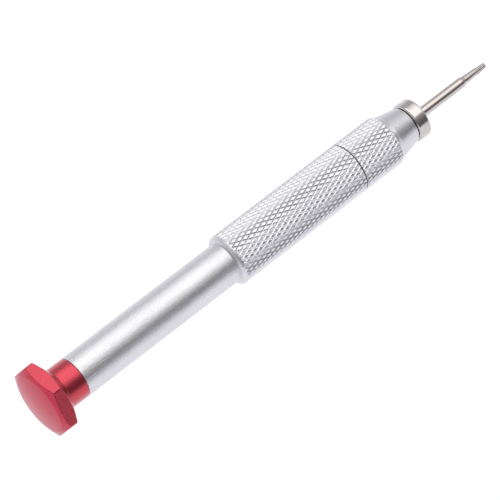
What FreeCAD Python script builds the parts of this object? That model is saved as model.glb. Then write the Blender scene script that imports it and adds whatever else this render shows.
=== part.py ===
import FreeCAD, Part
import math
import os
import re

import Sketcher

# A watchmaker screwdriver, in millimetres. Its long axis is X, with the blade tip at the
# origin and the swivelling hexagonal cap at the far, negative end. +Z is up: the tool lies
# with one flat of the hexagon facing down.

ROUND = 360
BALL_COUNT = 8
HEXAGON_SIDES = 6
TIP_LOBES = 6
COLLET_SLOTS = 2
NEAR = 1e-4

DIMENSIONS = {
    # handle: one turned aluminium piece, a plain tube that steps up to a knurled barrel
    "tube_radius": 4.0,
    "tube_length": 35.45,
    "barrel_radius": 5.0,
    "barrel_length": 29.95,
    "shoulder_round": 0.95,
    "edge_break": 0.12,
    # screw thread between handle and nose nut, M7 x 0.5
    "thread_radius": 3.5,
    "thread_gap": 0.05,
    "thread_length": 5.5,
    "thread_relief_width": 0.8,
    "thread_relief_depth": 0.35,
    # nose nut
    "seam_gap": 0.15,
    "nose_grip_length": 8.8,
    "nose_band_length": 0.95,
    "nose_length": 14.15,
    "band_rear_radius": 4.85,
    "band_front_radius": 4.46,
    "nose_front_radius": 3.57,
    "nose_hole_radius": 1.15,
    "collet_room": 0.25,
    # blade
    "blade_exposed": 19.95,
    "blade_length": 58.0,
    "blade_radius": 1.0,
    "neck_radius": 0.82,
    "neck_length": 5.3,
    "neck_taper": 0.65,
    "flute_base_radius": 0.67,
    "flute_length": 2.7,
    "tip_radius": 0.49,
    "flute_radius": 0.16,
    "flute_offset": 0.04,
    # collet
    "collet_gap": 0.05,
    "collet_shank_radius": 2.0,
    "collet_shank_length": 17.3,
    "collet_head_radius": 2.9,
    "collet_collar": 0.8,
    "collet_cone_length": 4.0,
    "collet_mouth_radius": 1.8,
    "collet_land": 0.5,
    "collet_grip_gap": 0.02,
    "collet_slot_width": 0.35,
    "collet_slot_length": 13.0,
    "collet_standoff": 0.7,
    # magnetising ring
    "ring_radius": 3.9,
    "ring_width": 2.7,
    "ring_hole_radius": 1.1,
    "ring_round": 0.45,
    "ring_gap": 0.15,
    # swivel cap
    "swivel_gap": 0.15,
    "neck_of_cap_length": 3.7,
    "across_flats": 13.0,
    "head_radius": 7.45,
    "front_cone_length": 2.0,
    "corner_length": 1.55,
    "rear_cone_length": 0.73,
    "dome_radius": 5.8,
    "dome_height": 0.5,
    # ball bearing 3 x 6 x 2.5 in the rear of the tube
    "bearing_bore": 1.5,
    "bearing_outside": 3.0,
    "bearing_width": 2.5,
    "bearing_recess": 0.25,
    "bearing_fit": 0.005,
    "pitch_radius": 2.25,
    "ball_radius": 0.4,
    "race_gap": 0.016,
    "inner_land": 2.05,
    "outer_land": 2.45,
    "shield_seat": 2.62,
    "shield_thickness": 0.15,
    "shield_inset": 0.1,
    "shield_gap": 0.05,
    "cage_gap": 0.07,
    "cage_front": 0.7,
    "cage_rear": 0.25,
    "cage_pocket": 0.43,
    # what clamps the inner race to the cap's axle
    "axle_shortfall": 0.05,
    "washer_radius": 2.0,
    "washer_thickness": 0.3,
    "screw_radius": 0.8,
    "screw_shank": 5.0,
    "screw_head_radius": 1.5,
    "screw_head_height": 0.8,
    "screw_slot_width": 0.4,
    "screw_slot_depth": 0.4,
    "tapping_depth": 0.5,
    "bay_radius": 2.45,
    "bay_depth": 2.0,
}

# Places and sizes worked out from the dimensions above.
PLACES = {
    "nose_front": "-blade_exposed",
    "nose_rear": "nose_front - nose_length",
    "barrel_front": "nose_rear - seam_gap",
    "tube_rear": "barrel_front - barrel_length - tube_length",
    "bearing_rear": "tube_rear + bearing_recess",
    "bearing_front": "bearing_rear + bearing_width",
    "cap_front": "tube_rear - swivel_gap",
    "corner_start": "dome_height + rear_cone_length",
    "corner_end": "corner_start + corner_length",
    "neck_root": "corner_end + front_cone_length",
    "cap_length": "neck_root + neck_of_cap_length",
    "cap_rear": "cap_front - cap_length",
    "spigot_end": "barrel_front + thread_length",
    "collet_head": "spigot_end + collet_standoff",
    "collet_rear": "collet_head - collet_shank_length",
    "ring_rear": "nose_front + ring_gap",
    "race_groove": "ball_radius + race_gap",
    "shield_step": "shield_inset + shield_thickness",
    "far_step": "bearing_width - shield_step",
}

doc = FreeCAD.newDocument("watchmaker_screwdriver")
sheet = doc.addObject("Spreadsheet::Sheet", "dims")
parts = []


def formula(text):
    """Turn a sum of dimension names into an expression on the spreadsheet."""
    return re.sub(r"[a-z][a-z_]*", lambda name: "dims." + name.group(), text)


def number(text):
    """The present value of such a sum."""
    return float(sheet.evalExpression(formula(text)))


def fill_sheet():
    for row, (alias, size) in enumerate(DIMENSIONS.items(), start=1):
        sheet.set("A%d" % row, alias)
        sheet.set("B%d" % row, str(size))
        sheet.setAlias("B%d" % row, alias)
    doc.recompute()
    for row, (alias, text) in enumerate(PLACES.items(), start=len(DIMENSIONS) + 1):
        sheet.set("A%d" % row, alias)
        sheet.set("B%d" % row, "=" + text)
        sheet.setAlias("B%d" % row, alias)
        doc.recompute()


def origin_feature(body, role):
    return next(item for item in body.Origin.OriginFeatures if item.Role == role)


def new_body(name, place):
    """A named body whose own origin lies on the tool's axis at the given place."""
    body = doc.addObject("PartDesign::Body", name)
    body.setExpression("Placement.Base.x", formula(place))
    parts.append(body)
    return body


def new_sketch(body, role, name):
    sketch = body.newObject("Sketcher::SketchObject", name)
    sketch.AttachmentSupport = [(origin_feature(body, role), "")]
    sketch.MapMode = "FlatFace"
    return sketch


def pin_point(sketch, edge, end, horizontal, vertical):
    """Hold one end of an edge at distances from the sketch's origin."""
    for kind, axis, text in (("DistanceX", -2, horizontal), ("DistanceY", -1, vertical)):
        if text == "0":
            sketch.addConstraint(Sketcher.Constraint("PointOnObject", edge, end, axis))
            continue
        index = sketch.addConstraint(Sketcher.Constraint(kind, -1, 1, edge, end, number(text)))
        sketch.setExpression("Constraints[%d]" % index, formula(text))


def turned(name, place, outline, domed=False):
    """A body of revolution. outline lists (distance along the axis, radius) corners in order;
    a domed one closes with an arc centred on the axis instead of a straight line."""
    body = new_body(name, place)
    sketch = new_sketch(body, "XY_Plane", name + "_outline")
    corners = [FreeCAD.Vector(number(along), number(radius), 0) for along, radius in outline]
    for index, corner in enumerate(corners):
        following = corners[(index + 1) % len(corners)]
        if domed and index == len(corners) - 1:
            height = corner.x - following.x
            sphere = (corner.y ** 2 + height ** 2) / (2 * height)
            half_turn = math.asin(corner.y / sphere) / 2
            middle = FreeCAD.Vector(following.x + sphere * (1 - math.cos(half_turn)),
                                    sphere * math.sin(half_turn), 0)
            sketch.addGeometry(Part.Arc(corner, middle, following))
            sketch.addConstraint(Sketcher.Constraint("PointOnObject", index, 3, -1))
        else:
            sketch.addGeometry(Part.LineSegment(corner, following))
    for index in range(len(corners)):
        following = (index + 1) % len(corners)
        sketch.addConstraint(Sketcher.Constraint("Coincident", index, 2, following, 1))
    for index, (along, radius) in enumerate(outline):
        pin_point(sketch, index, 1, along, radius)
    solid = body.newObject("PartDesign::Revolution", name + "_turned")
    solid.Profile = sketch
    solid.ReferenceAxis = (sketch, ["H_Axis"])
    solid.Angle = ROUND
    doc.recompute()
    return body


def rectangle(sketch, near, far, half_width, along="x"):
    """A rectangle from near to far along one sketch axis, centred on that axis."""
    spans = [number(near), number(far)]
    half = number(half_width)
    corners = [(spans[0], -half), (spans[1], -half), (spans[1], half), (spans[0], half)]
    if along == "y":
        corners = [(-across, along_it) for along_it, across in corners]
    corners = [FreeCAD.Vector(x, y, 0) for x, y in corners]
    for index in range(4):
        sketch.addGeometry(Part.LineSegment(corners[index], corners[(index + 1) % 4]))
    for index in range(4):
        sketch.addConstraint(Sketcher.Constraint("Coincident", index, 2, (index + 1) % 4, 1))
    lengthwise, across = ("Horizontal", "Vertical") if along == "x" else ("Vertical", "Horizontal")
    for kind, edge in ((lengthwise, 0), (lengthwise, 2), (across, 3)):
        sketch.addConstraint(Sketcher.Constraint(kind, edge))
    mirror = -1 if along == "x" else -2
    sketch.addConstraint(Sketcher.Constraint("Symmetric", 1, 1, 2, 1, mirror))
    kinds = ("DistanceX", "DistanceY") if along == "x" else ("DistanceY", "DistanceX")
    width_ends = (1, 1, 2, 1) if along == "x" else (2, 1, 1, 1)
    sizes = ((kinds[0], (-1, 1, 0, 1), near), (kinds[0], (-1, 1, 1, 1), far),
             (kinds[1], width_ends, half_width + " + " + half_width))
    for kind, ends, size in sizes:
        index = sketch.addConstraint(Sketcher.Constraint(kind, *ends, number(size)))
        sketch.setExpression("Constraints[%d]" % index, formula(size))


def circle(sketch, centre, radius):
    """A circle whose centre is given by its two distances from the sketch's origin."""
    middle = FreeCAD.Vector(number(centre[0]), number(centre[1]), 0)
    sketch.addGeometry(Part.Circle(middle, FreeCAD.Vector(0, 0, 1), number(radius)))
    pin_point(sketch, 0, 3, *centre)
    index = sketch.addConstraint(Sketcher.Constraint("Radius", 0, number(radius)))
    sketch.setExpression("Constraints[%d]" % index, formula(radius))


def must_shrink(body, before, what):
    doc.recompute()
    if not body.Shape.Volume < before - 1e-6:
        raise RuntimeError(what + " removed nothing")


def cut(body, sketch, repeats=1, sweep=ROUND):
    """Cut a sketch both ways through a body, and repeat the cut about the tool's axis."""
    before = body.Shape.Volume
    pocket = body.newObject("PartDesign::Pocket", sketch.Name + "_cut")
    pocket.Profile = sketch
    pocket.SideType = "Symmetric"
    pocket.Type = "ThroughAll"
    must_shrink(body, before, pocket.Name)
    if repeats > 1:
        before = body.Shape.Volume
        pattern = body.newObject("PartDesign::PolarPattern", sketch.Name + "_repeat")
        pattern.Originals = [pocket]
        pattern.Axis = (origin_feature(body, "X_Axis"), [""])
        pattern.Angle = sweep
        pattern.Occurrences = repeats
        body.Tip = pattern
        must_shrink(body, before, pattern.Name)


def groove(body, sketch):
    """Turn a sketch's section out of a body, all the way round."""
    before = body.Shape.Volume
    turned_out = body.newObject("PartDesign::Groove", sketch.Name + "_cut")
    turned_out.Profile = sketch
    turned_out.ReferenceAxis = (sketch, ["H_Axis"])
    turned_out.Angle = ROUND
    must_shrink(body, before, turned_out.Name)


def circle_edges(shape, corners):
    """Names of the circular edges at given (distance along the axis of revolution, radius)."""
    wanted = [(number(along), number(radius)) for along, radius in corners]
    names = []
    for index, edge in enumerate(shape.Edges, start=1):
        if edge.Degenerated or edge.Curve.TypeId != "Part::GeomCircle":
            continue
        for along, radius in wanted:
            centre = edge.Curve.Center
            if abs(centre.x - along) < NEAR and abs(edge.Curve.Radius - radius) < NEAR:
                names.append("Edge%d" % index)
    if len(names) != len(wanted):
        raise RuntimeError("edges not found: %s" % wanted)
    return names


def soften(body, kind, corners, size):
    """Fillet or chamfer the circular edges at the given corners."""
    base = body.Tip
    edges = circle_edges(base.Shape, corners)
    feature = body.newObject("PartDesign::" + kind, body.Name + "_" + size)
    feature.Base = (base, edges)
    feature.setExpression("Radius" if kind == "Fillet" else "Size", formula(size))
    doc.recompute()


def make_handle():
    seat_depth = "bearing_recess + bearing_width"
    bay_end = seat_depth + " + bay_depth"
    shoulder = "tube_length"
    barrel_end = "tube_length + barrel_length"
    spigot_end = "tube_length + barrel_length + thread_length"
    collet_seat = "collet_rear - tube_rear"
    blade_seat = "-blade_length - edge_break - tube_rear"
    undercut_radius = "thread_radius - thread_relief_depth"
    male_radius = "thread_radius - thread_gap"
    body = turned("handle_body", "tube_rear", [
        (bay_end, "0"),
        (blade_seat, "0"),
        (blade_seat, "nose_hole_radius"),
        (collet_seat, "nose_hole_radius"),
        (collet_seat, "collet_shank_radius + collet_gap"),
        (spigot_end, "collet_shank_radius + collet_gap"),
        (spigot_end, male_radius),
        (barrel_end + " + thread_relief_width", male_radius),
        (barrel_end + " + thread_relief_width", undercut_radius),
        (barrel_end, undercut_radius),
        (barrel_end, "barrel_radius"),
        (shoulder, "barrel_radius"),
        (shoulder, "tube_radius"),
        ("0", "tube_radius"),
        ("0", "bearing_outside + bearing_fit"),
        (seat_depth, "bearing_outside + bearing_fit"),
        (seat_depth, "bay_radius"),
        (bay_end, "bay_radius"),
    ])
    soften(body, "Fillet", [(shoulder, "barrel_radius")], "shoulder_round")
    soften(body, "Chamfer", [("0", "tube_radius"), (spigot_end, male_radius),
                             (barrel_end, "barrel_radius")], "edge_break")


def make_nose_nut():
    seat_start = "collet_head + collet_collar - nose_rear"
    seat_end = seat_start + " + collet_cone_length"
    pocket_end = seat_end + " + collet_land + collet_room"
    body = turned("nose_nut", "nose_rear", [
        ("0", "thread_radius"),
        (seat_start, "thread_radius"),
        (seat_start, "collet_head_radius + collet_gap"),
        (seat_end, "collet_mouth_radius + collet_gap"),
        (pocket_end, "collet_mouth_radius + collet_gap"),
        (pocket_end, "nose_hole_radius"),
        ("nose_length", "nose_hole_radius"),
        ("nose_length", "nose_front_radius"),
        ("nose_grip_length + nose_band_length", "band_front_radius"),
        ("nose_grip_length", "band_rear_radius"),
        ("nose_grip_length", "barrel_radius"),
        ("0", "barrel_radius"),
    ])
    soften(body, "Chamfer", [("0", "thread_radius"), ("nose_length", "nose_hole_radius"),
                             ("0", "barrel_radius")], "edge_break")


def make_collet():
    head = "collet_shank_length"
    cone = head + " + collet_collar"
    mouth = cone + " + collet_cone_length"
    front = mouth + " + collet_land"
    bore = "blade_radius + collet_grip_gap"
    body = turned("collet", "collet_rear", [
        ("0", bore),
        (front, bore),
        (front, "collet_mouth_radius"),
        (mouth, "collet_mouth_radius"),
        (cone, "collet_head_radius"),
        (head, "collet_head_radius"),
        (head, "collet_shank_radius"),
        ("0", "collet_shank_radius"),
    ])
    soften(body, "Chamfer", [("0", "collet_shank_radius"), (front, "collet_mouth_radius")],
           "edge_break")
    slot = new_sketch(body, "XY_Plane", "collet_slot")
    rectangle(slot, front + " - collet_slot_length", front + " + edge_break", "collet_slot_width / 2")
    cut(body, slot, COLLET_SLOTS, ROUND / 4)


def make_swivel_cap():
    boss_end = "bearing_rear - cap_rear"
    axle_end = "bearing_front - axle_shortfall - cap_rear"
    hole_bottom = "bearing_front + washer_thickness - screw_shank - tapping_depth - cap_rear"
    axle_radius = "bearing_bore - bearing_fit"
    body = turned("swivel_cap", "cap_rear", [
        ("0", "0"),
        (hole_bottom, "0"),
        (hole_bottom, "screw_radius"),
        (axle_end, "screw_radius"),
        (axle_end, axle_radius),
        (boss_end, axle_radius),
        (boss_end, "washer_radius"),
        ("cap_length", "washer_radius"),
        ("cap_length", "tube_radius"),
        ("neck_root", "tube_radius"),
        ("corner_end", "head_radius"),
        ("corner_start", "head_radius"),
        ("dome_height", "dome_radius"),
    ], domed=True)
    soften(body, "Chamfer", [("cap_length", "tube_radius")], "edge_break")
    flat = new_sketch(body, "YZ_Plane", "hexagon_flat")
    rectangle(flat, "across_flats / 2", "head_radius + edge_break", "head_radius", along="y")
    cut(body, flat, HEXAGON_SIDES)


def make_bearing():
    turned("bearing_outer_race", "bearing_rear", [
        ("0", "bearing_outside"),
        ("0", "shield_seat"),
        ("shield_step", "shield_seat"),
        ("shield_step", "outer_land"),
        ("far_step", "outer_land"),
        ("far_step", "shield_seat"),
        ("bearing_width", "shield_seat"),
        ("bearing_width", "bearing_outside"),
    ])
    turned("bearing_inner_race", "bearing_rear", [
        ("0", "bearing_bore"),
        ("bearing_width", "bearing_bore"),
        ("bearing_width", "inner_land"),
        ("0", "inner_land"),
    ])
    for race in parts[-2:]:
        raceway = new_sketch(race, "XY_Plane", race.Name + "_raceway")
        circle(raceway, ("bearing_width / 2", "pitch_radius"), "race_groove")
        groove(race, raceway)
    for side, start in (("rear", "shield_inset"), ("front", "far_step")):
        turned("bearing_shield_" + side, "bearing_rear", [
            (start, "inner_land + shield_gap"),
            (start + " + shield_thickness", "inner_land + shield_gap"),
            (start + " + shield_thickness", "shield_seat - bearing_fit"),
            (start, "shield_seat - bearing_fit"),
        ])
    cage = turned("bearing_cage", "bearing_rear", [
        ("bearing_width / 2 - cage_rear", "inner_land + cage_gap"),
        ("bearing_width / 2 + cage_front", "inner_land + cage_gap"),
        ("bearing_width / 2 + cage_front", "outer_land - cage_gap"),
        ("bearing_width / 2 - cage_rear", "outer_land - cage_gap"),
    ])
    pocket = new_sketch(cage, "XY_Plane", "ball_pocket")
    circle(pocket, ("bearing_width / 2", "0"), "cage_pocket")
    cut(cage, pocket, BALL_COUNT)
    for index in range(BALL_COUNT):
        ball = doc.addObject("Part::Sphere", "bearing_ball_%d" % (index + 1))
        turn = ROUND / BALL_COUNT * index
        ball.setExpression("Radius", formula("ball_radius"))
        ball.setExpression("Placement.Base.x", formula("bearing_rear + bearing_width / 2"))
        ball.setExpression("Placement.Base.y", "dims.pitch_radius * sin(%g deg)" % turn)
        ball.setExpression("Placement.Base.z", "dims.pitch_radius * cos(%g deg)" % turn)
        parts.append(ball)


def make_axle_fasteners():
    turned("axle_washer", "bearing_front", [
        ("0", "screw_radius + edge_break"),
        ("washer_thickness", "screw_radius + edge_break"),
        ("washer_thickness", "washer_radius"),
        ("0", "washer_radius"),
    ])
    head_end = "screw_shank + screw_head_height"
    screw = turned("axle_screw", "bearing_front + washer_thickness - screw_shank", [
        ("0", "0"),
        (head_end, "0"),
        (head_end, "screw_head_radius"),
        ("screw_shank", "screw_head_radius"),
        ("screw_shank", "screw_radius"),
        ("0", "screw_radius"),
    ])
    soften(screw, "Chamfer", [(head_end, "screw_head_radius"), ("0", "screw_radius")], "edge_break")
    slot = new_sketch(screw, "XY_Plane", "driver_slot")
    rectangle(slot, head_end + " - screw_slot_depth", head_end + " + edge_break",
              "screw_slot_width / 2")
    cut(screw, slot)


def make_blade():
    shank_end = "blade_length - neck_length - neck_taper"
    blank = turned("blade_blank", "-blade_length", [
        ("0", "0"),
        ("blade_length", "0"),
        ("blade_length", "tip_radius"),
        ("blade_length - flute_length", "flute_base_radius"),
        ("blade_length - neck_length", "neck_radius"),
        (shank_end, "blade_radius"),
        ("0", "blade_radius"),
    ])
    soften(blank, "Chamfer", [("0", "blade_radius")], "edge_break")
    parts.remove(blank)
    taper = math.atan2(number("flute_base_radius - tip_radius"), number("flute_length"))
    start_radius = number("flute_base_radius + flute_offset")
    flutes = []
    for index in range(TIP_LOBES):
        turn = math.radians(ROUND / TIP_LOBES * (index + 0.5))
        outward = FreeCAD.Vector(0, math.cos(turn), math.sin(turn))
        along = FreeCAD.Vector(math.cos(taper), 0, 0) - outward * math.sin(taper)
        start = FreeCAD.Vector(-number("flute_length"), 0, 0) + outward * start_radius
        flute = doc.addObject("Part::Cylinder", "flute_%d" % (index + 1))
        flute.setExpression("Radius", formula("flute_radius"))
        flute.setExpression("Height", formula("flute_length + edge_break"))
        flute.Placement = FreeCAD.Placement(start, FreeCAD.Rotation(FreeCAD.Vector(0, 0, 1), along))
        flutes.append(flute)
    tools = doc.addObject("Part::MultiFuse", "flutes")
    tools.Shapes = flutes
    blade = doc.addObject("Part::Cut", "blade")
    blade.Base = blank
    blade.Tool = tools
    parts.append(blade)


def make_magnet_ring():
    ring = turned("magnet_ring", "ring_rear", [
        ("0", "ring_hole_radius"),
        ("ring_width", "ring_hole_radius"),
        ("ring_width", "ring_radius"),
        ("0", "ring_radius"),
    ])
    soften(ring, "Fillet", [("0", "ring_radius"), ("ring_width", "ring_radius")], "ring_round")
    soften(ring, "Chamfer", [("0", "ring_hole_radius"), ("ring_width", "ring_hole_radius")],
           "edge_break")


def check_document():
    doc.recompute()
    for item in doc.Objects:
        if "Invalid" in item.State or "Error" in item.State:
            raise RuntimeError(item.Name + " did not compute")
    for item in parts:
        if item.Shape.isNull() or not item.Shape.isValid():
            raise RuntimeError(item.Label + " has no valid shape")


def write_parts():
    os.makedirs("parts", exist_ok=True)
    for item in parts:
        item.Shape.exportStep("parts/%s.step" % item.Label)
        print("%-22s %9.3f mm3  %s" % (item.Label, item.Shape.Volume, item.Shape.BoundBox))


fill_sheet()
make_handle()
make_nose_nut()
make_collet()
make_swivel_cap()
make_bearing()
make_axle_fasteners()
make_blade()
make_magnet_ring()
check_document()
write_parts()
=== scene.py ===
"""A watchmaker screwdriver lying on a pale studio floor.

The axis of the tool is X, its blade tip is at the origin and its cap is at the negative end.
Lengths are in millimetres until a mesh or the camera is made from them. The size of the floor
and the places and sizes of the lights are in metres.
"""
import math

import bmesh
import bpy
from mathutils import Matrix, Vector


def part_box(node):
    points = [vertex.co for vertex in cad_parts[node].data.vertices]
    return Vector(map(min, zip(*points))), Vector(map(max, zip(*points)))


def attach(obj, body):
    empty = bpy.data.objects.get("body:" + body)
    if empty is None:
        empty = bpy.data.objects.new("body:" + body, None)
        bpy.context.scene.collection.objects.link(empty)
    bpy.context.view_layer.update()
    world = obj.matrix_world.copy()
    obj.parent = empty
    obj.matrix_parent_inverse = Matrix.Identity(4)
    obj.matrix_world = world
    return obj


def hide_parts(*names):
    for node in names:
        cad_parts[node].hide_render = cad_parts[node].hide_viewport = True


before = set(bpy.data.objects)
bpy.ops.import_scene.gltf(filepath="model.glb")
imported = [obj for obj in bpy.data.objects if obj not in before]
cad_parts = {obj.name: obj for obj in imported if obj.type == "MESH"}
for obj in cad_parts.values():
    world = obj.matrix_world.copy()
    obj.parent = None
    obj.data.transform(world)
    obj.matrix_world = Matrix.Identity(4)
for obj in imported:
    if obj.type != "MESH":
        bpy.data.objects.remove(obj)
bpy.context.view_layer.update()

MM = 0.001
TURN = 2 * math.pi
SIXTH = TURN / 6

# sizes that several pieces share
TUBE_RADIUS = 4.0
SHANK_RADIUS = 1.0
SHANK_BORE = 1.15
SEAM_INNER = 4.60           # radius where the flat faces of the grip's seam start
SEAM_OUTER = 4.95           # and where they end, short of the knurl's crest

# knurl: two sets of crossing helical grooves
KNURL_TEETH = 35
KNURL_PITCH = 2.15          # along the axis, from one diamond to the next
KNURL_STEPS = 8             # mesh steps across one diamond, each way
KNURL_CREST = 5.0
KNURL_DEPTH = 0.13
KNURL_TOP = 0.42            # share of a full diamond's height at which it is topped
KNURL_RAMP = 0.08           # length over which the grooves run in at the shoulder
KNURL_CLEAR = 0.2           # share of a step kept free between the even rows and an end row

# edges that turn by more than this, in degrees, are drawn sharp
KNURL_SHARP = 14
PLAIN_SHARP = 28
CAP_SHARP = 40

# thread between the handle and the nose nut, M7 x 0.5
THREAD_PITCH = 0.5
THREAD_DEPTH = 0.3
THREAD_STEPS = 6            # mesh steps along one pitch
THREAD_CREST = 3.45
THREAD_STEEPNESS = 1.25     # above 1 the sides are steeper and the crest is a narrow flat

# cap: a hexagon with its corners cut to a circle, and a shallow dome on its end
HEX_HALF = 6.5
CORNER_RADIUS = 7.45
CORNER_BLEND = 0.02
EDGE_ROUND = 0.09
DOME_RADIUS = 5.8
DOME_RISE = 0.5

# six flutes in the blade's tip
TIP_LENGTH = 2.7
TIP_TAPER = 0.18
TIP_STEPS = 22              # mesh steps along the flutes
FLUTE_RADIUS = 0.16
FLUTE_RUNOUT = 0.45


def node_ends(node):
    """The two ends of a CAD node along the tool's axis."""
    low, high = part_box(node)
    return low[0] / MM, high[0] / MM


def from_sixth(angle):
    """The angle from the nearest of six even directions, the first of them at 0."""
    return (angle + SIXTH / 2) % SIXTH - SIXTH / 2


# ---------------------------------------------------------------- mesh building

def even_angles(count):
    return [TURN * index / count for index in range(count)]


def skin(name, angles, rows, loop=False):
    """A closed mesh round the X axis. Each row holds one (x, radius) for every angle, or just
    one (x, radius) for a plain ring; a radius of 0 is a point on the axis."""
    count = len(angles)
    directions = [(math.cos(angle), math.sin(angle)) for angle in angles]
    verts, faces, rings = [], [], []
    for row in rows:
        if isinstance(row, tuple):
            if row[1] == 0:
                rings.append([len(verts)])
                verts.append((row[0] * MM, 0.0, 0.0))
                continue
            row = [row] * count
        rings.append(list(range(len(verts), len(verts) + count)))
        for (x, radius), (cosine, sine) in zip(row, directions):
            verts.append((x * MM, radius * MM * sine, radius * MM * cosine))
    pairs = list(zip(rings, rings[1:]))
    if loop:
        pairs.append((rings[-1], rings[0]))
    for first, second in pairs:
        for index in range(count):
            following = (index + 1) % count
            if len(first) == 1:
                faces.append((first[0], second[index], second[following]))
            elif len(second) == 1:
                faces.append((first[index], second[0], first[following]))
            else:
                faces.append((first[index], second[index], second[following], first[following]))
    mesh = bpy.data.meshes.new(name)
    mesh.from_pydata(verts, [], faces)
    return mesh


def split_knurl(work, middle_radius):
    """Splits each quad of the knurl along the diagonal that lies closer to the true surface."""
    for face in list(work.faces):
        true_radius = middle_radius(face) if len(face.verts) == 4 else None
        if true_radius is None:
            continue
        corners = [vert.co.copy() for vert in face.verts]
        first = (corners[0] + corners[2]) / 2
        second = (corners[1] + corners[3]) / 2
        off_first = abs(math.hypot(first.y, first.z) - true_radius)
        off_second = abs(math.hypot(second.y, second.z) - true_radius)
        start = 0 if off_first < off_second else 1
        bmesh.utils.face_split(face, face.verts[start], face.verts[start + 2])


def finish_mesh(mesh, sharp_degrees, middle_radius=None):
    """Turns all faces outward and marks the sharp edges. middle_radius is given for a mesh with
    a knurl and finds the true radius at the middle of one of its quads."""
    work = bmesh.new()
    work.from_mesh(mesh)
    if middle_radius:
        split_knurl(work, middle_radius)
    bmesh.ops.recalc_face_normals(work, faces=work.faces)
    for face in work.faces:
        face.smooth = True
    limit = math.radians(sharp_degrees)
    for edge in work.edges:
        edge.smooth = len(edge.link_faces) != 2 or edge.calc_face_angle(0) < limit
    work.to_mesh(mesh)
    work.free()


def add_piece(name, mesh, body, nodes, materials):
    piece = bpy.data.objects.new(name, mesh)
    bpy.context.scene.collection.objects.link(piece)
    for material in materials:
        mesh.materials.append(material)
    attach(piece, body)
    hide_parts(*nodes)
    return piece


def arc(centre, radius, start, end, steps):
    """Points on an arc in the (x, radius) plane; angles in degrees, 0 along X."""
    points = []
    for step in range(steps + 1):
        angle = math.radians(start + (end - start) * step / steps)
        points.append((centre[0] + radius * math.cos(angle), centre[1] + radius * math.sin(angle)))
    return points


# ---------------------------------------------------------------- knurl and thread

def wave(phase):
    """A triangle wave between 0 at whole turns and 1 half-way between them."""
    return 1 - abs(2 * (phase % 1.0) - 1)


def knurl_radius(x, angle):
    """Radius of the knurled surface at one point."""
    around = KNURL_TEETH * angle / TURN
    along = x / KNURL_PITCH
    height = min(wave(around + along), wave(around - along), KNURL_TOP) / KNURL_TOP
    return KNURL_CREST - KNURL_DEPTH * (1 - height)


def knurl_rows(start, end, angles, runs_in):
    """Rows of knurl from start to end. Where it runs in, the grooves begin at the crest's
    radius and reach their depth over a short ramp."""
    step = KNURL_PITCH / KNURL_STEPS
    lead = [start, start + KNURL_RAMP] if runs_in else [start]
    first = math.ceil(lead[-1] / step + KNURL_CLEAR)
    last = math.floor(end / step - KNURL_CLEAR)
    rows = []
    for x in lead + [index * step for index in range(first, last + 1)] + [end]:
        share = min(1.0, (x - start) / KNURL_RAMP) if runs_in else 1.0
        rows.append([(x, KNURL_CREST - share * (KNURL_CREST - knurl_radius(x, angle)))
                     for angle in angles])
    return rows


def thread_radius(x, angle, fade):
    """Radius of a right-hand thread at one point; fade is 0 for a plain cylinder."""
    height = min(1.0, THREAD_STEEPNESS * wave(x / THREAD_PITCH + angle / TURN))
    return THREAD_CREST - THREAD_DEPTH * fade * (1 - height)


def thread_rows(start, end, angles):
    """Rows of thread from start to end. It runs out over one pitch at both."""
    step = THREAD_PITCH / THREAD_STEPS
    count = int((end - start) / step)
    rows = []
    for index in range(count + 1):
        x = start + (end - start) * index / count
        fade = min(1.0, index / THREAD_STEPS, (count - index) / THREAD_STEPS)
        rows.append([(x, thread_radius(x, angle, fade)) for angle in angles])
    return rows


def knurl_between(low, high):
    """A function that gives the true radius at the middle of a face of the knurl between low
    and high, and None for any other face."""
    below_grooves = KNURL_CREST - 1.3 * KNURL_DEPTH     # clear of the grooves' own depth

    def middle_radius(face):
        centre = face.calc_center_median()
        x = centre.x / MM
        radius = math.hypot(centre.y, centre.z) / MM
        if not low < x < high or radius < below_grooves:
            return None
        return knurl_radius(x, math.atan2(centre.y, centre.z) % TURN) * MM

    return middle_radius


# ---------------------------------------------------------------- materials

def new_material(name):
    material = bpy.data.materials.new(name)
    material.use_nodes = True
    tree = material.node_tree
    return material, tree, tree.nodes["Principled BSDF"]


def scaled_place(tree, scale):
    """Texture coordinates that stay with the piece, in units of the given size in mm."""
    place = tree.nodes.new("ShaderNodeTexCoord")
    mapping = tree.nodes.new("ShaderNodeMapping")
    for axis in range(3):
        mapping.inputs["Scale"].default_value[axis] = 1 / (scale[axis] * MM)
    tree.links.new(place.outputs["Object"], mapping.inputs["Vector"])
    return mapping.outputs["Vector"]


def noise(tree, size, detail, rough):
    """Noise with features of about the given size in mm, one size or one per axis."""
    scale = size if isinstance(size, tuple) else (size, size, size)
    texture = tree.nodes.new("ShaderNodeTexNoise")
    texture.inputs["Scale"].default_value = 1.0
    texture.inputs["Detail"].default_value = detail
    texture.inputs["Roughness"].default_value = rough
    tree.links.new(scaled_place(tree, scale), texture.inputs["Vector"])
    return texture.outputs["Fac"]


def ranged(tree, value, low, high, start=0.3, end=0.7):
    """Stretch a texture value between two limits."""
    node = tree.nodes.new("ShaderNodeMapRange")
    tree.links.new(value, node.inputs["Value"])
    node.inputs["From Min"].default_value = start
    node.inputs["From Max"].default_value = end
    node.inputs["To Min"].default_value = low
    node.inputs["To Max"].default_value = high
    return node.outputs["Result"]


def blend_colours(tree, factor, first, second):
    mix = tree.nodes.new("ShaderNodeMix")
    mix.data_type = "RGBA"
    tree.links.new(factor, mix.inputs["Factor"])
    mix.inputs["A"].default_value = (*first, 1.0)
    mix.inputs["B"].default_value = (*second, 1.0)
    return mix.outputs["Result"]


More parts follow.
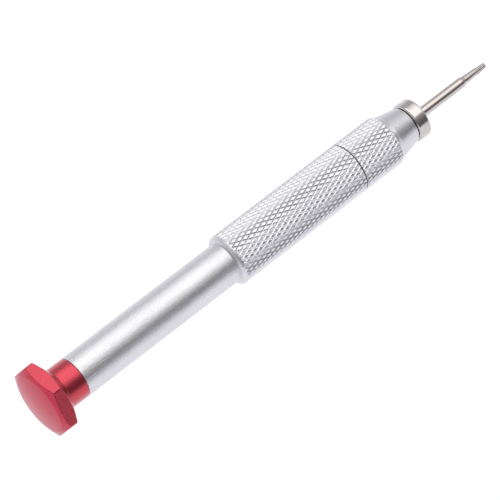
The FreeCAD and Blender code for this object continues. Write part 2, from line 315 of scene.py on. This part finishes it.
def bump(tree, height, depth_mm, strength):
    node = tree.nodes.new("ShaderNodeBump")
    node.inputs["Strength"].default_value = strength
    node.inputs["Distance"].default_value = depth_mm * MM
    tree.links.new(height, node.inputs["Height"])
    return node.outputs["Normal"]


def metal(name, colour, dull_colour, roughness, grain, depth, smudge=6.0, coat=0.0,
          coat_roughness=0.2, strength=0.6, speck=0.03):
    """A metal with a fine surface grain and faint patches where it has been handled. The two
    colours and the two ends of roughness belong to clean and handled places; grain, depth and
    smudge are in mm, and speck is how much the grain darkens and lightens the colour."""
    coat_ior = 1.55
    rough_speck = 0.03
    material, tree, shader = new_material(name)
    shader.inputs["Metallic"].default_value = 1.0
    shader.inputs["Coat Weight"].default_value = coat
    shader.inputs["Coat Roughness"].default_value = coat_roughness
    shader.inputs["Coat IOR"].default_value = coat_ior
    patches = noise(tree, smudge, 4.0, 0.6)
    colours = blend_colours(tree, ranged(tree, patches, 0.0, 1.0), colour, dull_colour)
    fine = noise(tree, grain, 2.0, 0.6)
    speckled = tree.nodes.new("ShaderNodeVectorMath")
    speckled.operation = "SCALE"
    tree.links.new(colours, speckled.inputs[0])
    tree.links.new(ranged(tree, fine, 1 - speck, 1 + speck), speckled.inputs["Scale"])
    tree.links.new(speckled.outputs[0], shader.inputs["Base Color"])
    patchy = ranged(tree, patches, roughness[0], roughness[1])
    speckle = ranged(tree, fine, -rough_speck, rough_speck)
    total = tree.nodes.new("ShaderNodeMath")
    total.operation = "ADD"
    tree.links.new(patchy, total.inputs[0])
    tree.links.new(speckle, total.inputs[1])
    tree.links.new(total.outputs[0], shader.inputs["Roughness"])
    normal = bump(tree, fine, depth, strength)
    tree.links.new(normal, shader.inputs["Normal"])
    tree.links.new(normal, shader.inputs["Coat Normal"])
    return material


SATIN = metal("satin_aluminium_blasted", (0.735, 0.73, 0.755), (0.705, 0.70, 0.725),
              roughness=(0.36, 0.40), grain=0.21, depth=0.062, smudge=9.0, strength=1.0,
              speck=0.14)
KNURLED = metal("satin_aluminium_knurled", (0.79, 0.785, 0.815), (0.75, 0.745, 0.775),
                roughness=(0.34, 0.40), grain=0.12, depth=0.006, smudge=3.0, speck=0.05)
TURNED = metal("satin_aluminium_turned", (0.71, 0.705, 0.73), (0.68, 0.675, 0.70),
               roughness=(0.35, 0.39), grain=0.14, depth=0.012, strength=1.0, speck=0.05)
RED = metal("red_anodised_satin", (0.55, 0.022, 0.048), (0.51, 0.019, 0.043),
            roughness=(0.29, 0.34), grain=0.22, depth=0.034, coat=1.0, coat_roughness=0.27,
            strength=1.0, speck=0.13)
RED_FACED = metal("red_anodised_faced", (0.52, 0.032, 0.066), (0.50, 0.030, 0.062),
                  roughness=(0.27, 0.30), grain=0.22, depth=0.004, coat=0.25,
                  coat_roughness=0.3)
BRASS = metal("collet_brass_turned", (0.78, 0.60, 0.30), (0.66, 0.48, 0.22),
              roughness=(0.22, 0.34), grain=(0.06, 2.0, 2.0), depth=0.005, smudge=3.0)
BEARING = metal("bearing_steel_ground", (0.70, 0.70, 0.71), (0.62, 0.62, 0.63),
                roughness=(0.10, 0.18), grain=0.08, depth=0.001, smudge=1.5)
PRESSED = metal("pressed_steel_bright", (0.62, 0.62, 0.63), (0.52, 0.52, 0.53),
                roughness=(0.24, 0.36), grain=0.1, depth=0.003, smudge=1.2)
STEEL = metal("tool_steel_polished", (0.61, 0.56, 0.53), (0.57, 0.52, 0.49),
              roughness=(0.17, 0.24), grain=(2.0, 0.05, 0.05), depth=0.003, smudge=4.0)
NICKEL = metal("nickel_plate_tumbled", (0.62, 0.59, 0.565), (0.58, 0.55, 0.53),
               roughness=(0.16, 0.21), grain=0.3, depth=0.004, smudge=3.0)


# ---------------------------------------------------------------- handle

def seam_row(x, angles):
    """The knurl's outline at the grip's seam, with its crests cut down to the seam's radius."""
    return [(x, min(SEAM_OUTER, knurl_radius(x, angle))) for angle in angles]


def make_handle():
    rear, spigot = node_ends("handle_body")
    blade_rear = node_ends("blade")[0]
    angles = even_angles(KNURL_TEETH * KNURL_STEPS)
    seam = spigot - 5.53
    shoulder = spigot - 35.45
    shoulder_round = 0.95
    knurl_start = shoulder + 0.75
    knurl_end = seam - 0.05

    # bores and spigot
    seat_end, seat = rear + 2.75, 3.005
    relief_end, relief = rear + 4.75, 2.45
    edge = 0.10
    thread_start, thread_end, thread_root = seam + 0.8, spigot - 0.12, 3.15
    collet_end, collet_bore = spigot - 16.6, 2.05
    blade_end = blade_rear - 0.12

    rows = [
        (relief_end, 0), (relief_end, relief - 0.05), (relief_end - 0.05, relief),
        (seat_end, relief), (seat_end, seat), (rear + edge, seat), (rear, seat + edge),
        (rear, TUBE_RADIUS - edge),
    ]
    rows += arc((rear + 0.05, TUBE_RADIUS - 0.05), 0.05, 180, 90, 3)
    rows += [(rear + 0.20, TUBE_RADIUS), (rear + 5.0, TUBE_RADIUS)]
    rows += [(shoulder - 5.0, TUBE_RADIUS), (shoulder - 0.16, TUBE_RADIUS)]
    rows += arc((shoulder - 0.12, TUBE_RADIUS + 0.12), 0.12, -90, 0, 3)
    rows += arc((shoulder + shoulder_round, KNURL_CREST - shoulder_round), shoulder_round,
                180, 102, 10)
    rows += knurl_rows(knurl_start, knurl_end, angles, runs_in=True)
    rows.append(seam_row(seam, angles))
    rows += [(seam, SEAM_INNER), (seam, thread_root), (thread_start, thread_root)]
    rows += thread_rows(thread_start, thread_end, angles)
    rows += [(spigot, 3.33), (spigot, collet_bore + edge), (spigot - edge, collet_bore)]
    rows += [(collet_end, collet_bore), (collet_end, SHANK_BORE)]
    rows += [(blade_end, SHANK_BORE), (blade_end, 0)]

    mesh = skin("handle", angles, rows)
    finish_mesh(mesh, KNURL_SHARP, knurl_between(knurl_start + KNURL_RAMP, seam))
    add_piece("handle", mesh, "handle", ["handle_body"], [SATIN, KNURLED])
    for face in mesh.polygons:
        if face.center.x / MM > knurl_start:
            face.material_index = 1


def make_nose():
    rear, front = node_ends("nose_nut")
    rear += 0.03                # keeps the seam open by this much
    angles = even_angles(KNURL_TEETH * KNURL_STEPS)
    grip = rear + 8.8           # front end of the grip
    band = grip + 0.95          # front end of the narrow band
    knurl_start, knurl_end = rear + 0.05, grip - 0.05

    # bores and the cone that closes the collet
    bore_end, pocket, cone_front = rear + 11.6, 1.85, rear + 10.85
    cone_rear, cone_radius = rear + 6.85, 2.95
    thread_bore = 3.5
    edge = 0.12

    rows = [seam_row(rear, angles)]
    rows += knurl_rows(knurl_start, knurl_end, angles, runs_in=False)
    rows.append([(grip, max(4.84, knurl_radius(grip, angle) - 0.05)) for angle in angles])
    rows += [(grip + 0.02, 4.85), (grip + 0.10, 4.835), (band - 0.08, 4.492), (band, 4.455),
             (band + 0.08, 4.435), (front - 0.14, 3.60)]
    rows += arc((front - edge, 3.475), edge, 78, 0, 3)
    rows += [(front, 3.40), (front, SHANK_BORE + 0.16), (front - 0.02, SHANK_BORE + edge)]
    rows += [(front - edge, SHANK_BORE), (bore_end, SHANK_BORE), (bore_end, pocket)]
    rows += [(cone_front, pocket), (cone_rear, cone_radius), (cone_rear, thread_bore)]
    rows += [(rear + edge, thread_bore), (rear, thread_bore + edge), (rear, SEAM_INNER)]

    mesh = skin("nose", angles, rows, loop=True)
    finish_mesh(mesh, KNURL_SHARP, knurl_between(rear, knurl_end + 0.01))
    add_piece("nose", mesh, "nose", ["nose_nut"], [TURNED, KNURLED])
    for face in mesh.polygons:
        radius = math.hypot(face.center.y, face.center.z) / MM
        if face.center.x / MM < grip and radius > SEAM_INNER:
            face.material_index = 1


# ---------------------------------------------------------------- swivel cap

def hexagon_radius(angle):
    """Distance from the axis to the hexagon's side, with its corners cut to a circle and the
    meeting of the two slightly rounded."""
    flat = HEX_HALF / math.cos(from_sixth(angle))
    gap = CORNER_RADIUS - flat
    return (flat + CORNER_RADIUS - math.sqrt(gap * gap + CORNER_BLEND * CORNER_BLEND)) / 2


def round_corner(before, corner, after, radius, steps):
    """The arc that replaces a corner of an outline. It takes at most a set share of each side,
    and a corner that is all but straight is kept as it is."""
    straight = math.radians(89.5)
    side_share = 0.45
    towards = (Vector(before) - Vector(corner)).normalized()
    onward = (Vector(after) - Vector(corner)).normalized()
    half = math.acos(max(-1.0, min(1.0, towards.dot(onward)))) / 2
    if half > straight:
        return [corner] * (steps + 1)
    reach = min(radius / math.tan(half),
                side_share * (Vector(before) - Vector(corner)).length,
                side_share * (Vector(after) - Vector(corner)).length)
    true_radius = reach * math.tan(half)
    centre = Vector(corner) + (towards + onward).normalized() * (true_radius / math.sin(half))
    start = Vector(corner) + towards * reach - centre
    finish = Vector(corner) + onward * reach - centre
    sweep = start.angle_signed(finish)
    points = []
    for step in range(steps + 1):
        turned = start.copy()
        turned.rotate(Matrix.Rotation(-sweep * step / steps, 2))
        points.append(tuple(centre + turned))
    return points


def cap_angles():
    """Angles that crowd together towards the hexagon's corners, 30 degrees from each flat's
    middle."""
    half = [0, 3, 6, 9, 12, 15, 18, 20.5, 22.5, 24.5, 26, 27.2, 28, 28.5, 28.9, 29.2, 29.5, 29.8]
    side = [-degrees for degrees in reversed(half[1:])] + half
    return sorted(math.radians(60 * index + degrees) % TURN
                  for index in range(6) for degrees in side)


def dome_rows(apex):
    """The cap's shallow dome from its middle out, one step short of its edge."""
    sphere = (DOME_RADIUS ** 2 + DOME_RISE ** 2) / (2 * DOME_RISE)
    rows = [(apex, 0)]
    for radius in (1.0, 2.0, 3.0, 4.0, 4.8, 5.3, 5.6):
        rows.append((apex + sphere - math.sqrt(sphere ** 2 - radius ** 2), radius))
    return rows


def rounded_outline(outline):
    """An outline with its corners rounded and extra points between them; its first and last
    points are left out."""
    points = []
    for index in range(1, len(outline) - 1):
        before, corner, after = outline[index - 1:index + 2]
        points += round_corner(before, corner, after, EDGE_ROUND, 3)
        if index < len(outline) - 2:
            points += [tuple(Vector(points[-1]).lerp(Vector(after), share))
                       for share in (0.12, 0.5, 0.88)]
    return points


def make_cap():
    apex, axle_end = node_ends("swivel_cap")
    dome_edge = apex + DOME_RISE
    corner_start = apex + 1.23      # where the two cones leave the hexagon's corners
    corner_end = apex + 2.78
    neck_root = apex + 4.78
    neck_front = apex + 8.56
    collar, collar_radius = neck_front + 0.40, 2.0
    axle, screw_hole, screw_hole_end = 1.495, 0.8, apex + 6.18
    edge = 0.10
    rear_slope = (corner_start - dome_edge) / (CORNER_RADIUS - DOME_RADIUS)
    front_slope = (neck_root - corner_end) / (CORNER_RADIUS - TUBE_RADIUS)

    angles = cap_angles()
    dome = dome_rows(apex)
    columns = []
    for angle in angles:
        reach = hexagon_radius(angle)
        rear_meet = dome_edge + (reach - DOME_RADIUS) * rear_slope
        front_meet = neck_root - (reach - TUBE_RADIUS) * front_slope
        columns.append(rounded_outline([
            dome[-1], (dome_edge, DOME_RADIUS), (rear_meet, reach), (front_meet, reach),
            (neck_root, TUBE_RADIUS), (neck_front - 0.12, TUBE_RADIUS),
        ]))
    rows = dome + [list(row) for row in zip(*columns)]
    rows += [(neck_root + 0.3, TUBE_RADIUS), (neck_front - 0.3, TUBE_RADIUS)]
    rows += arc((neck_front - 0.05, TUBE_RADIUS - 0.05), 0.05, 90, 0, 3)
    rows += [(neck_front, 3.80), (neck_front, collar_radius), (collar, collar_radius)]
    rows += [(collar, axle), (axle_end - edge, axle), (axle_end, axle - edge)]
    rows += [(axle_end, screw_hole + edge), (axle_end - edge, screw_hole)]
    rows += [(screw_hole_end, screw_hole), (screw_hole_end, 0)]

    mesh = skin("cap", angles, rows)
    finish_mesh(mesh, CAP_SHARP)
    piece = add_piece("cap", mesh, "cap", ["swivel_cap"], [RED, RED_FACED])
    faced = -0.85       # the dome and the cone round it look back at least this squarely
    for face in mesh.polygons:
        if face.normal.x < faced:
            face.material_index = 1
    weighted = piece.modifiers.new("flat_faces", "WEIGHTED_NORMAL")
    weighted.keep_sharp = True
    weighted.weight = 100


# ---------------------------------------------------------------- blade and ring

def blade_radius(x, angle):
    """Radius of the fluted tip at one point."""
    from_start = x + TIP_LENGTH
    share = max(0.0, min(1.0, from_start / TIP_LENGTH))
    blank = 0.67 - TIP_TAPER * share
    runout = min(1.0, max(0.0, from_start / FLUTE_RUNOUT))
    flute_centre = 0.71 - TIP_TAPER * share + 0.12 * (1 - runout) ** 2
    from_flute = SIXTH / 2 - abs(from_sixth(angle))
    reach = flute_centre * math.sin(from_flute)
    if reach >= FLUTE_RADIUS:
        return blank
    flute = flute_centre * math.cos(from_flute) - math.sqrt(FLUTE_RADIUS ** 2 - reach ** 2)
    return min(blank, flute)


def make_blade():
    rear, tip = node_ends("blade")
    angles = even_angles(120)
    edge = 0.12
    flutes_end = -0.04          # from here to the tip the edge is broken by as much
    rows = [(rear, 0), (rear, SHANK_RADIUS - edge), (rear + edge, SHANK_RADIUS)]
    rows += [(x, SHANK_RADIUS) for x in (rear + 0.3, rear + 20, rear + 38, -6.15)]
    rows += [(-5.98, 0.998), (-5.90, 0.988), (-5.35, 0.835), (-5.25, 0.818), (-5.1, 0.811)]
    rows += [(-4.0, 0.747), (-2.8, 0.677)]
    for step in range(TIP_STEPS + 1):
        x = -TIP_LENGTH + (TIP_LENGTH + flutes_end) * step / TIP_STEPS
        rows.append([(x, blade_radius(x, angle)) for angle in angles])
    rows += [[(tip, blade_radius(0, angle) + flutes_end) for angle in angles], (tip, 0)]
    mesh = skin("blade", angles, rows)
    finish_mesh(mesh, PLAIN_SHARP)
    add_piece("blade_bar", mesh, "blade", ["blade"], [STEEL])


def make_ring():
    rear, front = node_ends("magnet_ring")
    angles = even_angles(160)
    outer, bore = 3.9, 1.1
    tumbled = 0.45
    edge = 0.12
    rows = [(rear + edge, bore), (rear, bore + edge), (rear, bore + 0.2), (rear, 3.38)]
    rows += arc((rear + tumbled, outer - tumbled), tumbled, 180, 90, 8)
    rows += [(rear + 0.5, outer), (front - 0.5, outer)]
    rows += arc((front - tumbled, outer - tumbled), tumbled, 90, 0, 8)
    rows += [(front, 3.38), (front, bore + 0.2), (front, bore + edge), (front - edge, bore)]
    mesh = skin("ring", angles, rows, loop=True)
    finish_mesh(mesh, PLAIN_SHARP)
    add_piece("ring", mesh, "ring", ["magnet_ring"], [NICKEL])


# ---------------------------------------------------------------- pieces kept from the CAD

KEPT = {"collet": BRASS, "axle_washer": PRESSED, "axle_screw": PRESSED, "bearing_cage": PRESSED,
        "bearing_shield_rear": PRESSED, "bearing_shield_front": PRESSED,
        "bearing_outer_race": BEARING, "bearing_inner_race": BEARING}


def dress_kept_nodes():
    for name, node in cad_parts.items():
        material = BEARING if name.startswith("bearing_ball") else KEPT.get(name)
        if material:
            node.data.materials.clear()
            node.data.materials.append(material)


# ---------------------------------------------------------------- floor, light, camera

def make_floor():
    """A floor that touches the hexagon's lower side and the front of the knurled grip. It gives
    off most of its light itself, as a light table does."""
    half = 3.0
    under_cap, under_grip = -105.5, -25.4       # where the tool rests, along X
    gap = 0.02
    slope = (HEX_HALF - KNURL_CREST) / (under_grip - under_cap)
    height = -(HEX_HALF + gap + under_cap * slope) * MM
    mesh = bpy.data.meshes.new("floor")
    corners = [(-half, -half), (half, -half), (half, half), (-half, half)]
    mesh.from_pydata([(x, y, height + x * slope) for x, y in corners], [], [(0, 1, 2, 3)])
    floor = bpy.data.objects.new("floor", mesh)
    bpy.context.scene.collection.objects.link(floor)
    material, tree, shader = new_material("studio_floor")
    patches = noise(tree, 180.0, 3.0, 0.55)
    colours = blend_colours(tree, ranged(tree, patches, 0.0, 1.0), (0.09, 0.09, 0.09),
                            (0.07, 0.07, 0.07))
    tree.links.new(colours, shader.inputs["Base Color"])
    shader.inputs["Emission Color"].default_value = (0.995, 0.99, 1.035, 1.0)
    shader.inputs["Emission Strength"].default_value = 0.975
    tree.links.new(ranged(tree, patches, 0.85, 0.95), shader.inputs["Roughness"])
    shader.inputs["Specular IOR Level"].default_value = 0.1
    mesh.materials.append(material)


def add_panel(name, place, aim_degrees, length, width, radiance):
    """A rectangular softbox that shines straight down, then is tilted and turned about the
    vertical by the two angles of its aim."""
    light = bpy.data.lights.new(name, "AREA")
    light.shape = "RECTANGLE"
    light.size = length
    light.size_y = width
    light.energy = radiance * math.pi * length * width
    panel = bpy.data.objects.new(name, light)
    panel.location = place
    tilt, turn = aim_degrees
    panel.rotation_euler = (0.0, math.radians(tilt), math.radians(turn))
    bpy.context.scene.collection.objects.link(panel)


# colours of the room's walls and ceiling, by degrees from the back (+Y) over to the front (-Y)
WALLS = [
    (0, (0.80, 0.80, 0.84)), (11, (0.66, 0.66, 0.69)), (25, (0.56, 0.56, 0.58)),
    (40, (0.56, 0.56, 0.57)), (60, (0.62, 0.62, 0.62)), (75, (0.66, 0.66, 0.66)),
    (112, (0.58, 0.575, 0.57)), (130, (0.38, 0.375, 0.37)), (144, (0.22, 0.21, 0.21)),
    (162, (0.14, 0.135, 0.15)), (180, (0.14, 0.135, 0.16)),
]


def light_room():
    """Softboxes overhead and beyond the tip, and walls that run along the tool's axis."""
    add_panel("overhead_softbox", (0.051, 0.114, 0.60), (0.0, 15.7), 0.50, 0.95, 1.15)
    add_panel("overhead_fill", (0.46, 0.17, 0.60), (0.0, 15.7), 0.32, 0.70, 0.45)
    add_panel("side_softbox", (0.565, 0.012, 0.192), (72.0, 1.2), 0.20, 0.20, 1.5)
    world = bpy.data.worlds.new("studio")
    bpy.context.scene.world = world
    world.use_nodes = True
    tree = world.node_tree
    background = tree.nodes["Background"]
    place = tree.nodes.new("ShaderNodeTexCoord")
    split = tree.nodes.new("ShaderNodeSeparateXYZ")
    tree.links.new(place.outputs["Generated"], split.inputs[0])
    height = tree.nodes.new("ShaderNodeMath")
    height.operation = "ARCTAN2"
    tree.links.new(split.outputs["Z"], height.inputs[0])
    tree.links.new(split.outputs["Y"], height.inputs[1])
    ramp = tree.nodes.new("ShaderNodeValToRGB")
    across = ranged(tree, height.outputs[0], 0.0, 1.0, start=0.0, end=math.pi)
    tree.links.new(across, ramp.inputs["Fac"])
    for degrees, _ in WALLS[1:-1]:
        ramp.color_ramp.elements.new(degrees / 180)
    for stop, (degrees, colour) in zip(ramp.color_ramp.elements, WALLS):
        stop.position = degrees / 180
        stop.color = (*colour, 1.0)
    tree.links.new(ramp.outputs["Color"], background.inputs["Color"])
    background.inputs["Strength"].default_value = 1.0


def place_camera():
    """A long lens that looks down on the tool from in front of its cap end."""
    target = Vector((-59.239, -1.021, 0.0))
    distance = 704.458
    azimuth, elevation, roll = [math.radians(degrees) for degrees in (-129.194, 52.8095, -4.3934)]
    back = Vector((math.cos(elevation) * math.cos(azimuth),
                   math.cos(elevation) * math.sin(azimuth), math.sin(elevation)))
    turned = back.to_track_quat("Z", "Y").to_matrix() @ Matrix.Rotation(roll, 3, "Z")
    camera = bpy.data.objects.new("camera", bpy.data.cameras.new("camera"))
    bpy.context.scene.collection.objects.link(camera)
    camera.matrix_world = Matrix.Translation((target + distance * back) * MM) @ turned.to_4x4()
    camera.data.sensor_width = 36.0
    camera.data.lens = 286.55
    camera.data.clip_start = 0.01
    camera.data.clip_end = 20.0
    bpy.context.scene.camera = camera


make_handle()
make_nose()
make_cap()
make_blade()
make_ring()
dress_kept_nodes()
make_floor()
light_room()
place_camera()

view = bpy.context.scene.view_settings
view.view_transform = "Standard"
view.look = "None"
view.exposure = 0.0
view.gamma = 1.0
